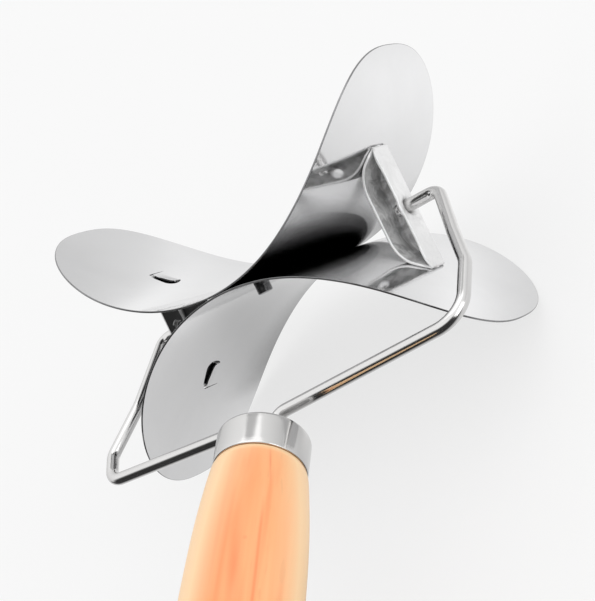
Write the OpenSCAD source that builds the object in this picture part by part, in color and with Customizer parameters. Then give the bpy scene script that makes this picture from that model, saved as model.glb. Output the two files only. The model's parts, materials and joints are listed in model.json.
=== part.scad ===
// Rolling dough cutter: two curved sheet blades crossed back to back on one
// axis, carried between the inward pins of a bent wire yoke with a turned
// wooden handle.
// X runs along the roller axis, +Y runs from the handle to the roller, +Z is
// normal to the plane of the yoke. The origin is the middle of the roller
// axis. Millimetres.

/* [Roller] */
// radius the cutting rims roll on
roller_radius = 36; // [34:0.5:38]
// thickness of the blade sheet
blade_t = 0.5; // [0.4:0.1:0.7]
// turn of the roller about its axis at rest, degrees
roll_angle = 49.6; // [0:0.1:90]
// slope of a blade at its tip, degrees
tip_slope = 60.4; // [59:0.2:61.5]
// fullness of the lobes along the blade, higher is squarer
lobe_along = 2.89; // [2.5:0.01:3.2]
// fullness of the lobes across the blade, higher is squarer
lobe_across = 2.51; // [2.2:0.01:2.8]

/* [Brackets] */
// thickness of the bracket sheet
bracket_t = 0.7; // [0.6:0.1:0.8]
// distance from the middle to the outer wall of a bracket
bracket_x = 40.9; // [40.5:0.1:41.5]
// width of a bracket along the roller axis
bracket_w = 7.4; // [7:0.1:7.8]
// depth of a bracket, floor to rim
bracket_d = 8.7; // [8.4:0.1:9.2]
// radius of the round ear about the pivot hole
ear_r = 4.7; // [4.4:0.1:5]

/* [Yoke] */
// diameter of the yoke wire
wire_d = 3.4; // [3:0.1:3.4]
// running clearance round a pin, on the radius
pin_clear = 0.06; // [0.03:0.01:0.1]
// reach of the yoke to its rear corner at +X
yoke_right = 59.9; // [59.4:0.1:61]
// reach of the yoke to its rear corner at -X
yoke_left = 56.3; // [56:0.1:58]
// distance from the roller axis back to the rear corners
yoke_back = 49.2; // [48.6:0.1:50]
// length of the hairpin tang inside the handle, from the ferrule face
tang_len = 42; // [30:1:60]

/* [Ferrule] */
// outer diameter of the ferrule
ferrule_d = 23.2; // [22.6:0.1:24]
// length of the ferrule
ferrule_len = 9.8; // [9:0.1:12]
// distance from the roller axis to the face of the ferrule
ferrule_y = 58.2; // [57.8:0.1:60]
// wall of the ferrule
ferrule_t = 0.7; // [0.5:0.1:1]

/* [Handle] */
// length of the visible wood behind the ferrule
grip_len = 108; // [95:1:125]
// largest diameter of the grip
grip_d = 29; // [27:0.5:31]
// diameter of the grip just before the rounded butt
butt_d = 25.5; // [24:0.5:27]
// diameter of the hanging hole through the butt
hang_d = 5; // [4:0.5:6]
// distance of the hanging hole from the end of the butt
hang_in = 13; // [12:0.5:16]

/* [Hidden] */
$fn = 96;

wire_r = wire_d/2;
bore_r = wire_r + pin_clear;     // pivot hole
rivet_z = 0.40*roller_radius;
rivet_r = 1.6;
bracket_in = bracket_x - bracket_w;  // inner face of the bracket

module both_y() for (side = [0, 1]) mirror([0, side, 0]) children();
module along_x(x) translate([x, 0, 0]) rotate([0, 90, 0]) children();

// ---------- blades ----------
// Half a blade is three tangent arcs in the local XY plane, extruded along Z.
arc_len = [0.70, 0.60, 0.664]*roller_radius;
arc_start = [0, arc_len[0], arc_len[0] + arc_len[1]];
half_len = arc_start[2] + arc_len[2];
arc_slope = tip_slope*[0, 0.450, 0.7545, 1];     // slopes at the ends of the arcs
arc_r = [for (i = [0:2]) arc_len[i]/((arc_slope[i+1] - arc_slope[i])*PI/180)];
axis_gap = blade_t/2 + 0.01;     // from the axis to the middle of the sheet
function find_centre(i) = i == 0 ? [0, axis_gap + arc_r[0]]
  : find_centre(i-1) + (arc_r[i-1] - arc_r[i])*[sin(arc_slope[i]), -cos(arc_slope[i])];
arc_centre = [for (i = [0:2]) find_centre(i)];

// point at a distance along the sheet, raised off its middle towards the arc centre
function arc_at(dist) = dist <= arc_start[1] ? 0 : dist <= arc_start[2] ? 1 : 2;
function sheet_point(dist, raise) =
  let (i = arc_at(dist),
       slope = arc_slope[i] + (dist - arc_start[i])/arc_r[i]*180/PI)
  arc_centre[i] + (arc_r[i] - raise)*[sin(slope), -cos(slope)];

// points first to last of a list, in either order, with signs on x and y
function run(points, first, last, x_sign, y_sign = 1) =
  [for (i = [first : (last > first ? 1 : -1) : last])
    [x_sign*points[i][0], y_sign*points[i][1]]];

function lobe_width(dist) =
  roller_radius*pow(max(0, 1 - pow(dist/half_len, lobe_along)), 1/lobe_across);
lobe_steps = 22;
quarter = [for (i = [0:lobe_steps]) let (dist = half_len*sin(90*i/lobe_steps))
  [sheet_point(dist, 0)[0], i == lobe_steps ? 0 : lobe_width(dist)]];
outline = concat(quarter,
  run(quarter, lobe_steps-1, 0, 1, -1),
  run(quarter, 1, lobe_steps, -1, -1),
  run(quarter, lobe_steps-1, 1, -1));

sheet_steps = 26;
sheet_len = half_len + 2;        // runs past the tip, the outline trims it
function sheet_side(raise) =
  [for (i = [0:sheet_steps]) sheet_point(sheet_len*i/sheet_steps, raise)];
side_up = sheet_side(blade_t/2);
side_down = sheet_side(-blade_t/2);
sheet_section = concat(side_down,
  run(side_up, sheet_steps, 0, 1),
  run(side_up, 1, sheet_steps, -1),
  run(side_down, sheet_steps, 1, -1));

// the bent sheet over its full width, tangent arcs drawn as short chords
module bent_sheet()
  linear_extrude(height = 2*roller_radius + 4, center = true) polygon(sheet_section);

// C-shaped slit through the lobe at -X, cut along Y
module slit() {
  outer = -bracket_x;
  inner = -bracket_in;
  rotate([90, 0, 0])
    linear_extrude(height = 80, center = true)
      // x, z
      polygon([
        [outer - 0.05, -4.0], [outer + 0.35, -4.1], [outer + 0.45, 2.9],
        [inner - 4.2, 2.7], [inner - 1.5, 2.3], [inner - 0.9, 1.4],
        [inner - 0.65, -2.6], [inner - 0.5, -4.3], [inner + 0.1, -4.8],
        [inner + 0.55, -4.2], [inner + 0.6, 1.8], [inner + 0.4, 3.2],
        [inner - 0.3, 3.9], [inner - 1.4, 4.1], [inner - 4.2, 3.7],
        [outer - 0.3, 3.2]]);
}

module blade()
  difference() {
    intersection() {
      bent_sheet();
      rotate([90, 0, 0])
        linear_extrude(height = 6*roller_radius, center = true) polygon(outline);
    }
    slit();
    rotate([0, 180, 0]) slit();
    for (side = [-1, 1])
      translate([0, 0, side*rivet_z]) rotate([90, 0, 0])
        cylinder(r = rivet_r + 0.02, h = 8, center = true);
  }

module roller_frame() rotate([roll_angle, 0, 0]) children();

module blade_upper() color([0.86, 0.87, 0.88]) roller_frame() blade();

module blade_lower() color([0.72, 0.73, 0.74]) roller_frame() mirror([0, 1, 0]) blade();

// ---------- brackets, drawn at +X and open towards +Z ----------
floor_z = -bracket_d*0.54;       // outer face of the floor
rim_z = bracket_d*0.46;          // rim of the outer wall
inner_rim_z = rim_z + 1.3;
blade_gap = 0.05;                // between a bracket and a blade
collar_r = bore_r + 1.2;
collar_len = 1.9;
floor_hole_r = 1.7;
corner_y = 9.6;                  // where the slanted cut of the ends begins
corner_drop = 1.2;
corner_angle = 38;

// the inner wall swings round to the blades in a large bend
bend_r = 11;
bend_y = arc_centre[1][1] - sqrt(
  pow(arc_r[1] + blade_t/2 + blade_gap + bend_r - 0.4, 2)
  - pow(bracket_in + bend_r - arc_centre[1][0], 2));

// what the bend leaves out at both ends, for a wall face set in from the outer one
module bend_cut(inset)
  both_y() difference() {
    translate([bracket_in - 1, bend_y, floor_z - 1]) cube([5.3, 20, 22]);
    translate([bracket_in + bend_r - 0.05, bend_y, floor_z - 2])
      cylinder(r = bend_r - inset, h = 24);
  }

// trims the children to the space between the two blades, a gap away from both
module between_blades(gap)
  difference() {
    children();
    both_y() translate([arc_centre[1][0], arc_centre[1][1], 0])
      cylinder(r = arc_r[1] + blade_t/2 + gap, h = 80, center = true);
  }

// floor, two long walls and the end walls that follow the blades
module bracket_pan()
  difference() {
    difference() {
      between_blades(blade_gap)
        translate([bracket_in, -30, floor_z])
          cube([bracket_w, 60, inner_rim_z - floor_z]);
      bend_cut(0);
    }
    difference() {
      between_blades(blade_gap + bracket_t)
        translate([bracket_in + bracket_t, -30, floor_z + bracket_t])
          cube([bracket_w - 2*bracket_t, 60, 20]);
      bend_cut(bracket_t);
    }
    // only the inner wall stands above the outer rim
    translate([bracket_in + bracket_t + 0.01, -40, rim_z]) cube([20, 80, 20]);
    // slanted cut over both ends
    both_y() translate([bracket_in - 5, corner_y, rim_z - corner_drop])
      rotate([corner_angle, 0, 0]) translate([0, -2, 0]) cube([30, 30, 20]);
  }

module bracket()
  difference() {
    union() {
      bracket_pan();
      // round ear of the outer wall, cut off level with the floor
      intersection() {
        along_x(bracket_x - bracket_t) cylinder(r = ear_r, h = bracket_t);
        translate([bracket_in, -20, floor_z]) cube([20, 40, 40]);
      }
      // drawn collar round the pivot hole
      along_x(bracket_x - collar_len) cylinder(r = collar_r, h = collar_len);
    }
    // pivot hole
    along_x(bracket_x - 6) cylinder(r = bore_r, h = 12);
    // round hole in the floor
    translate([(bracket_in + bracket_x)/2 - 0.5, 1.2, floor_z - 2])
      cylinder(r = floor_hole_r, h = 2 + bracket_t + 0.4);
  }

module bracket_right() color([0.80, 0.80, 0.82]) roller_frame() bracket();

module bracket_left()
  color([0.80, 0.80, 0.82]) roller_frame() rotate([0, 180, 0]) bracket();

// ---------- rivets ----------
// two rivets that hold the blades together, a flat head at +Y, a long one at -Y
head_y = blade_t + 0.12;
module center_rivets() color([0.55, 0.55, 0.57]) roller_frame()
  for (side = [-1, 1]) translate([0, 0, side*rivet_z]) {
    rotate([90, 0, 0]) cylinder(r = rivet_r, h = 2*blade_t + 2*1.0, center = true);
    translate([0, head_y, 0]) rotate([-90, 0, 0]) cylinder(r = 2.4, h = 0.7);
    translate([0, -head_y, 0]) rotate([90, 0, 0]) cylinder(r = 2.05, h = 2.7);
  }

// ---------- yoke ----------
pin_tip_x = 37.2;
leg_x = wire_r + 0.6;            // hairpin legs
tang_y = ferrule_y + tang_len;
// centre line of each half of the wire from pin tip to hairpin: x, y, bend radius;
// the arm at -X is set closer in and bows out only round the blade tips
leg_path = [[leg_x, -yoke_back - 2, 4.0], [leg_x, -tang_y, 0]];
right_path = concat([
  [pin_tip_x, 0, 0], [50.3, 0, 4.2], [55.7, -18.4, 12],
  [yoke_right, -31.0, 10], [yoke_right, -yoke_back, 7.6]], leg_path);
left_path = concat([
  [pin_tip_x, 0, 0], [46.5, 0, 3.6], [51.3, -21.5, 14],
  [58.1, -36.6, 5], [yoke_left, -yoke_back + 3.2, 5]], leg_path);

// the bends are a hair thicker than the straights, which run a little way into
// them, so each joint of the sweep is a clean step and not two touching ends
bend_step = 0.02;
run_in = 0.25;

function corner(path, i) = [path[i][0], path[i][1]];
function leg(path, i) = corner(path, i+1) - corner(path, i);
function direction(path, i) = leg(path, i)/norm(leg(path, i));
function turn(path, i) =
  let (before = direction(path, i-1), after = direction(path, i))
  atan2(before[0]*after[1] - before[1]*after[0], before*after);
// length a bend takes off the straight on either side of its corner
function setback(path, i) = path[i][2]*tan(abs(turn(path, i))/2);

// straights and bends both start their circle at +Z
module straight(from, to)
  translate([from[0], from[1], 0])
    rotate([0, 0, atan2(to[1] - from[1], to[0] - from[0])])
      rotate([0, 90, 0]) rotate([0, 0, 180])
        cylinder(r = wire_r, h = norm(to - from));

module bend(radius, angle)
  rotate_extrude(angle = angle)
    translate([radius, 0]) rotate(90) circle(r = wire_r + bend_step);

module half_wire(path) {
  last = len(path) - 1;
  for (i = [0:last-1]) {
    ahead = direction(path, i);
    straight(corner(path, i) + ahead*(i > 0 ? setback(path, i) - run_in : 0),
      corner(path, i+1) - ahead*((i+1 < last ? setback(path, i+1) : 0) - run_in));
  }
  for (i = [1:last-1]) {
    angle = turn(path, i);
    side = angle > 0 ? 1 : -1;
    before = direction(path, i-1);
    heading = atan2(before[1], before[0]);
    centre = corner(path, i) - before*setback(path, i)
      + path[i][2]*side*[-sin(heading), cos(heading)];
    translate([centre[0], centre[1], 0])
      rotate([0, 0, side > 0 ? heading - 90 : heading + 90 + angle])
        bend(path[i][2], abs(angle));
  }
}

// one wire: both pins, arms, rear bars and the hairpin tang
module yoke_wire() color([0.70, 0.70, 0.71]) {
  half_wire(right_path);
  mirror([1, 0, 0]) half_wire(left_path);
  translate([0, -tang_y, 0]) rotate([0, 0, 180]) bend(leg_x, 180);
}

// ---------- ferrule ----------
ferrule_r = ferrule_d/2;
edge_r = 0.9;                    // rounding of the front edge

module ferrule() color([0.78, 0.78, 0.79])
  difference() {
    translate([0, -ferrule_y, 0]) rotate([90, 0, 0]) {
      difference() {
        union() {
          cylinder(r = ferrule_r - edge_r, h = 1);
          translate([0, 0, edge_r]) cylinder(r = ferrule_r, h = ferrule_len - edge_r);
          rotate_extrude()
            translate([ferrule_r - edge_r, edge_r]) circle(r = edge_r, $fn = 48);
        }
        translate([0, 0, ferrule_t])
          cylinder(r = ferrule_r - ferrule_t, h = ferrule_len);
      }
    }
    // the two holes for the wire
    for (side = [-1, 1])
      translate([side*leg_x, -ferrule_y + 1, 0]) rotate([90, 0, 0])
        cylinder(r = wire_r + 0.04, h = 4);
  }

// ---------- handle, profile distances run towards -Y ----------
tenon_y = ferrule_y + ferrule_t + 0.05;         // front of the tenon
shoulder_y = ferrule_y + ferrule_len + 0.05;    // shoulder behind the ferrule
end_y = ferrule_y + ferrule_len + grip_len;
tenon_r = ferrule_r - ferrule_t - 0.04;
tenon_chamfer = 0.6;
shoulder_r = ferrule_r - 0.25;
widest = 0.45;                   // share of the length where the grip is widest
taper = 0.47;                    // share of the length it narrows over after that
butt_len = 9;                    // rounded butt
butt_edge = 4;                   // radial depth of its rounding
mortise_r = wire_r + 0.1;
mortise_y = tang_y + leg_x + wire_r + 1;

// radius of the grip at a share of its length
function grip_r(share) = share < widest
  ? shoulder_r + (grip_d/2 - shoulder_r)*pow(sin(90*share/widest), 0.66)
  : butt_d/2 + (grip_d - butt_d)/4*(1 + cos(180*min(1, (share - widest)/taper)));
wood_len = end_y - shoulder_y;
body_share = 1 - butt_len/wood_len;
body_points = [for (i = [0:26]) let (share = pow(i/26, 1.35)*body_share)
  [grip_r(share), shoulder_y + share*wood_len]];
butt_points = [for (i = [1:9]) let (angle = 90*i/9)
  [grip_r(body_share) - butt_edge + butt_edge*cos(angle),
   end_y - butt_len + butt_len*sin(angle)]];

module handle_grip() color([0.93, 0.72, 0.48])
  difference() {
    rotate([90, 0, 0]) rotate_extrude()
      polygon(concat(
        [[0, tenon_y], [tenon_r - tenon_chamfer, tenon_y],
         [tenon_r, tenon_y + tenon_chamfer], [tenon_r, shoulder_y]],
        body_points, butt_points, [[0, end_y]]));
    // mortise for the hairpin tang
    for (side = [-1, 1])
      translate([side*leg_x, 0, 0]) rotate([90, 0, 0])
        cylinder(r = mortise_r, h = mortise_y);
    translate([-leg_x, -mortise_y, -mortise_r])
      cube([2*leg_x, mortise_y, 2*mortise_r]);
    // hanging hole
    translate([0, -(end_y - hang_in), 0]) cylinder(d = hang_d, h = 60, center = true);
  }

handle_grip();
ferrule();
yoke_wire();
blade_upper();
blade_lower();
bracket_right();
bracket_left();
center_rivets();
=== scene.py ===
# A hand roller. Two bent sheet blades are riveted back to back and curve apart towards +X and -X,
# where a pressed bracket closes the gap at each end. The brackets turn about X on the tips of a
# wire yoke, whose hairpin runs through a ferrule into a wooden handle lying along -Y. +Z is up.
# The roller is tilted about X, so it is modelled in its own coordinates (x, rise, across):
# rise is square to the sheets at the middle, across runs from the low rivet to the high one.
import bpy, bmesh, json, math
import numpy as np
from mathutils import Matrix, Vector
from mathutils.geometry import delaunay_2d_cdt


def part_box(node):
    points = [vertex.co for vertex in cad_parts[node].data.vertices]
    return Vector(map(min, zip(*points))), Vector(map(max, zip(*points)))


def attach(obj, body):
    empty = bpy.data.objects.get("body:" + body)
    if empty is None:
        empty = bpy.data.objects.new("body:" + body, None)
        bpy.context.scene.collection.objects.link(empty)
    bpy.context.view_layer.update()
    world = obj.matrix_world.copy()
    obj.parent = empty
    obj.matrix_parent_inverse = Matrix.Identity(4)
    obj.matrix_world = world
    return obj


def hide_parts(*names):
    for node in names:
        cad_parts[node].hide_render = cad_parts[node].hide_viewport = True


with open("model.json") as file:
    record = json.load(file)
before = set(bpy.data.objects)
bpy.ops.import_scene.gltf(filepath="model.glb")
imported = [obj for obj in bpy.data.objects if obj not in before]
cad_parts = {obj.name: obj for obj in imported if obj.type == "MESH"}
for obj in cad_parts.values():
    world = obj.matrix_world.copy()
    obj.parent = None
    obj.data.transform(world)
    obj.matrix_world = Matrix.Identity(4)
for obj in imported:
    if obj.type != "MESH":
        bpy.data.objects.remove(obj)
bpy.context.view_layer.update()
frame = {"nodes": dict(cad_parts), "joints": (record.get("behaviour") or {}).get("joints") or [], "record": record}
MM = 0.001


def coords(mesh):
    """Vertex places of a mesh as an (n, 3) array."""
    flat = np.zeros(len(mesh.vertices) * 3)
    mesh.vertices.foreach_get("co", flat)
    return flat.reshape(-1, 3)


def cad_coords(node):
    return coords(frame["nodes"][node].data)


def roller_axes():
    """Rise and across directions, from the line between the two rivets."""
    rivets = cad_coords("center_rivets")
    middle = rivets[:, 2].mean()
    across = rivets[rivets[:, 2] > middle].mean(0) - rivets[rivets[:, 2] < middle].mean(0)
    across[0] = 0
    across /= np.linalg.norm(across)
    if across[2] < 0:
        across = -across
    rise = np.cross(across, [1.0, 0, 0])
    return (rise if rise[2] >= 0 else -rise), across


# ------------------------------------------------------------------ sizes read from the frame
spin_joint = [j for j in frame["joints"] if j["name"] == "roller_spin"][0]
ORIGIN = np.array(spin_joint["pos_m"], float)
X_DIR = np.array([1.0, 0, 0])
RISE, ACROSS = roller_axes()
ROLL_R = float(np.abs(cad_coords("blade_upper") @ ACROSS).max())   # rolling radius

ferrule_lo, ferrule_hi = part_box("ferrule")
grip_lo, grip_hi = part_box("handle_grip")
yoke_lo, yoke_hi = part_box("yoke_wire")
bracket_lo, bracket_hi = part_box("bracket_right")

SHEET = 0.5 * MM
RIVET_PLACE = 0.40 * ROLL_R        # across, either side of the middle
WIRE_R = float(yoke_hi.z - yoke_lo.z) / 2
LEG = WIRE_R + 0.6 * MM            # half the spacing of the hairpin's legs

# ferrule and handle are measured along -Y
FERRULE_R = float(ferrule_hi.x - ferrule_lo.x) / 2
FERRULE_FRONT, FERRULE_BACK = -float(ferrule_hi.y), -float(ferrule_lo.y)
FERRULE_WALL = 0.7 * MM
TENON_FRONT, GRIP_END = -float(grip_hi.y), -float(grip_lo.y)


def to_row(points, origin=ORIGIN):
    """Roller coordinates to the row frame; origin=0 turns directions."""
    return origin + points[..., :1] * X_DIR + points[..., 1:2] * RISE + points[..., 2:] * ACROSS


# ------------------------------------------------------------------ mesh helpers
def make(name, verts, faces, normals=None, smooth=True):
    mesh = bpy.data.meshes.new(name)
    mesh.from_pydata([tuple(v) for v in verts], [], [tuple(int(i) for i in f) for f in faces])
    mesh.validate()
    mesh.update()
    if smooth:
        mesh.polygons.foreach_set("use_smooth", [True] * len(mesh.polygons))
    if normals is not None:
        mesh.normals_split_custom_set_from_vertices([tuple(n) for n in normals])
    mesh.update()
    ob = bpy.data.objects.new(name, mesh)
    bpy.context.scene.collection.objects.link(ob)
    return ob


def recalc(ob):
    """Weld double vertices and turn all faces outwards."""
    bm = bmesh.new()
    bm.from_mesh(ob.data)
    bmesh.ops.remove_doubles(bm, verts=bm.verts, dist=1e-7)
    bmesh.ops.recalc_face_normals(bm, faces=bm.faces)
    bm.to_mesh(ob.data)
    bm.free()
    return ob


def sharpen(ob, degrees):
    """Smooth shading, with edges over the given angle kept crisp."""
    bm = bmesh.new()
    bm.from_mesh(ob.data)
    limit = math.radians(degrees)
    for face in bm.faces:
        face.smooth = True
    for edge in bm.edges:
        if len(edge.link_faces) == 2:
            edge.smooth = edge.calc_face_angle(0.0) < limit
    bm.to_mesh(ob.data)
    bm.free()


def bridge(ring_a, ring_b, flip=False):
    """Quads between two closed rings of vertex numbers."""
    count = len(ring_a)
    quads = [(ring_a[j], ring_a[(j + 1) % count], ring_b[(j + 1) % count], ring_b[j])
             for j in range(count)]
    return [(a, d, c, b) for a, b, c, d in quads] if flip else quads


def lathe(name, outline, start, axis, count=96, uneven=lambda angle, along: 0.0):
    """Turned solid; outline rows are (radius, distance along the axis), radius 0 is a pole."""
    axis = np.array(axis, float) / np.linalg.norm(axis)
    ref = np.array([0, 0, 1] if abs(axis[2]) < 0.9 else [1, 0, 0], float)
    side_a = ref - axis * (ref @ axis)
    side_a /= np.linalg.norm(side_a)
    side_b = np.cross(axis, side_a)
    verts, faces, rings = [], [], []
    for radius, along in outline:
        first = len(verts)
        if radius < 1e-9:
            verts.append(start + axis * along)
        else:
            for k in range(count):
                angle = 2 * math.pi * k / count
                spoke = side_a * math.cos(angle) + side_b * math.sin(angle)
                verts.append(start + axis * along + spoke * (radius + uneven(angle, along)))
        rings.append(list(range(first, len(verts))))
    for a, b in zip(rings[:-1], rings[1:]):
        if len(a) == 1:
            faces += [(a[0], b[k], b[(k + 1) % count]) for k in range(count)]
        elif len(b) == 1:
            faces += [(a[k], b[0], a[(k + 1) % count]) for k in range(count)]
        else:
            faces += bridge(a, b, flip=True)
    return recalc(make(name, verts, faces))


def capped(rows):
    """Close a turning outline with a pole at each end."""
    return [(0, rows[0][1]), *rows, (0, rows[-1][1])]


def from_mm(rows, base_radius=0.0):
    """Outline rows in mm to metres, radii counted from base_radius."""
    return [(base_radius + radius * MM, along * MM) for radius, along in rows]


def boolean(ob, cutter, operation="DIFFERENCE"):
    modifier = ob.modifiers.new("b", "BOOLEAN")
    modifier.operation = operation
    modifier.solver = "EXACT"
    modifier.object = cutter
    depsgraph = bpy.context.evaluated_depsgraph_get()
    mesh = bpy.data.meshes.new_from_object(ob.evaluated_get(depsgraph))
    ob.modifiers.remove(modifier)
    old = ob.data
    ob.data = mesh
    mesh.name = ob.name
    bpy.data.meshes.remove(old)
    bpy.data.objects.remove(cutter)


def join(name, parts):
    verts, faces = [], []
    for part in parts:
        first = len(verts)
        verts += [tuple(v.co) for v in part.data.vertices]
        faces += [tuple(i + first for i in p.vertices) for p in part.data.polygons]
        bpy.data.objects.remove(part)
    return make(name, verts, faces)


def smooth01(t):
    t = np.clip(t, 0, 1)
    return t * t * (3 - 2 * t)


# ------------------------------------------------------------------ shader building
class Shader:
    """Small builder for shader nodes; its methods return sockets, apart from node and vector."""
    def __init__(self, tree):
        self.tree = tree
        self.coords = self.node("ShaderNodeTexCoord").outputs
        self.object = self.coords["Object"]

    def node(self, kind, **settings):
        made = self.tree.nodes.new(kind)
        for key, value in settings.items():
            setattr(made, key, value)
        return made

    def link(self, source, target):
        self.tree.links.new(source, target)

    def feed(self, value, target):
        """Link a socket, or set a constant."""
        if isinstance(value, (int, float, tuple)):
            target.default_value = value
        else:
            self.link(value, target)

    def mapped(self, stretch=(1, 1, 1), turn=(0, 0, 0), shift=(0, 0, 0), source=None):
        made = self.node("ShaderNodeMapping")
        made.inputs["Scale"].default_value = stretch
        made.inputs["Rotation"].default_value = turn
        made.inputs["Location"].default_value = shift
        self.link(source or self.object, made.inputs["Vector"])
        return made.outputs[0]

    def noise(self, scale=1.0, detail=3.0, rough=0.5, warp=0.0, **mapping):
        vector = self.mapped(**mapping)
        made = self.node("ShaderNodeTexNoise")
        made.inputs["Scale"].default_value = scale
        made.inputs["Detail"].default_value = detail
        made.inputs["Roughness"].default_value = rough
        made.inputs["Distortion"].default_value = warp
        self.link(vector, made.inputs["Vector"])
        return made.outputs["Fac"]

    def ramp(self, factor, stops):
        """Colour ramp; stops are (position, rgb)."""
        made = self.node("ShaderNodeValToRGB")
        elements = made.color_ramp.elements
        while len(elements) < len(stops):
            elements.new(0.5)
        for element, (position, color) in zip(elements, stops):
            element.position = position
            element.color = (*color, 1)
        self.link(factor, made.inputs[0])
        return made.outputs[0]

    def remap(self, factor, span, to=(0, 1), smooth=False):
        settings = {"interpolation_type": "SMOOTHSTEP"} if smooth else {}
        made = self.node("ShaderNodeMapRange", **settings)
        for i, value in enumerate((*span, *to)):
            made.inputs[i + 1].default_value = value
        self.link(factor, made.inputs[0])
        return made.outputs[0]

    def math(self, operation, a, b=0.0):
        made = self.node("ShaderNodeMath", operation=operation)
        self.feed(a, made.inputs[0])
        self.feed(b, made.inputs[1])
        return made.outputs[0]

    def add(self, a, b):
        return self.math("ADD", a, b)

    def sub(self, a, b):
        return self.math("SUBTRACT", a, b)

    def mul(self, a, b):
        return self.math("MULTIPLY", a, b)

    def vector(self, operation, a, b):
        made = self.node("ShaderNodeVectorMath", operation=operation)
        self.feed(a, made.inputs[0])
        self.feed(b, made.inputs[1])
        return made.outputs

    def dot(self, source, direction):
        return self.vector("DOT_PRODUCT", source, tuple(float(c) for c in direction))["Value"]

    def split(self, source):
        """The x, y and z of a vector."""
        made = self.node("ShaderNodeSeparateXYZ")
        self.link(source, made.inputs[0])
        return made.outputs

    def mix(self, factor, a, b, blend="MIX"):
        made = self.node("ShaderNodeMix", data_type="RGBA", blend_type=blend)
        self.feed(factor, made.inputs["Factor"])
        for key, value in (("A", a), ("B", b)):
            socket = [i for i in made.inputs if i.name == key and i.type == "RGBA"][0]
            self.feed((*value, 1) if isinstance(value, tuple) else value, socket)
        return [o for o in made.outputs if o.type == "RGBA"][0]

    def darken(self, color, keep):
        """Multiply a colour by a single factor."""
        grey = self.ramp(keep, [(0.0, (0, 0, 0)), (1.0, (1, 1, 1))])
        return self.mix(1.0, color, grey, "MULTIPLY")

    def bump(self, height, strength, distance, under=None):
        made = self.node("ShaderNodeBump")
        made.inputs["Strength"].default_value = strength
        made.inputs["Distance"].default_value = distance
        self.link(height, made.inputs["Height"])
        if under is not None:
            self.link(under, made.inputs["Normal"])
        return made.outputs[0]


def new_material(name):
    material = bpy.data.materials.new(name)
    material.use_nodes = True
    tree = material.node_tree
    for node in list(tree.nodes):
        tree.nodes.remove(node)
    output = tree.nodes.new("ShaderNodeOutputMaterial")
    principled = tree.nodes.new("ShaderNodeBsdfPrincipled")
    tree.links.new(principled.outputs[0], output.inputs[0])
    return material, Shader(tree), principled.inputs


# ------------------------------------------------------------------ metals
def painted_shade_factor(sh, surface, reach, span, low, inner_x=None):
    """Painted shade where the metal is closed in, found by ambient occlusion; inner_x is where a bracket's inner
    wall ends.
    """
    occlusion = sh.node("ShaderNodeAmbientOcclusion", samples=6)
    occlusion.inputs["Distance"].default_value = reach
    opened = occlusion.outputs["AO"]
    keep = sh.remap(opened, span=span, to=(low, 1.0))
    if inner_x is None:
        # none towards the tips
        from_middle = sh.math("ABSOLUTE", sh.split(sh.object)[0])
        return sh.math("MAXIMUM", keep, sh.remap(from_middle, span=(0.036, 0.046)))
    # the hollow, found by ambient occlusion, is made less metallic and gets mottled painted shade; the faces
    # turned to the middle get painted shade too
    mottle = sh.noise(scale=210.0, detail=4.0, rough=0.6, warp=1.6, shift=(5, 2, 8))
    hollow = sh.remap(opened, span=(0.45, 0.85), to=(1.0, 0.0))
    sh.link(sh.remap(hollow, span=(0.0, 1.0), to=(1.0, 0.22)), surface["Metallic"])
    stain = sh.mul(hollow, sh.remap(mottle, span=(0.40, 0.60), to=(0.0, 0.42)))
    keep = sh.mul(keep, sh.sub(1.0, stain))
    from_middle = sh.math("ABSOLUTE", sh.split(sh.object)[0])
    return sh.mul(keep, sh.remap(from_middle, span=(inner_x, inner_x + 0.0004), to=(0.42, 1.0)))


def steel(name, tint, rough, grain=None, cloud=0.0, wave=0.0, scratch=0.0, painted_shade=None,
          blotch=150.0):
    """Steel: tint and roughness range, then optional clouding, painted shade, waviness, grain and scratches."""
    material, sh, surface = new_material(name)
    surface["Metallic"].default_value = 1.0
    broad = sh.noise(scale=38.0, detail=4.0, rough=0.55, warp=0.6)
    small = sh.noise(scale=420.0, detail=3.0, rough=0.6)
    dull = tuple(c * (1 - 0.05 - cloud) for c in tint)
    color = sh.mix(sh.remap(broad, span=(0.3, 0.7)), dull, tint)
    if cloud:
        spots = sh.noise(scale=blotch, detail=5.0, rough=0.62, warp=1.2, shift=(3, 1, 2))
        stained = tuple(c * (1 - cloud * 1.6) for c in tint)
        color = sh.mix(sh.remap(spots, span=(0.42, 0.68)), color, stained)
    # painted shade: the colour is darkened where the metal is closed in
    if painted_shade:
        color = sh.darken(color, painted_shade_factor(sh, surface, **painted_shade))
    sh.link(color, surface["Base Color"])
    blend = sh.add(sh.mul(broad, 0.65), sh.mul(small, 0.35))
    sh.link(sh.remap(blend, span=(0.32, 0.68), to=rough), surface["Roughness"])
    relief = None
    if wave:
        height = sh.noise(scale=30.0, detail=2.0, shift=(7, 4, 1))
        relief = sh.bump(height, strength=wave, distance=0.0012)
    if grain is not None:
        height = sh.noise(stretch=grain, detail=4.0, rough=0.6)
        relief = sh.bump(height, strength=0.12, distance=0.00008, under=relief)
    if scratch:
        lines = sh.noise(stretch=(900, 60, 900), turn=(0.3, 0.2, 0.5), detail=2.0)
        lines = sh.remap(lines, span=(0.60, 0.66))
        relief = sh.bump(lines, strength=scratch, distance=0.00003, under=relief)
    if relief is not None:
        sh.link(relief, surface["Normal"])
    return material, sh, surface


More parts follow.
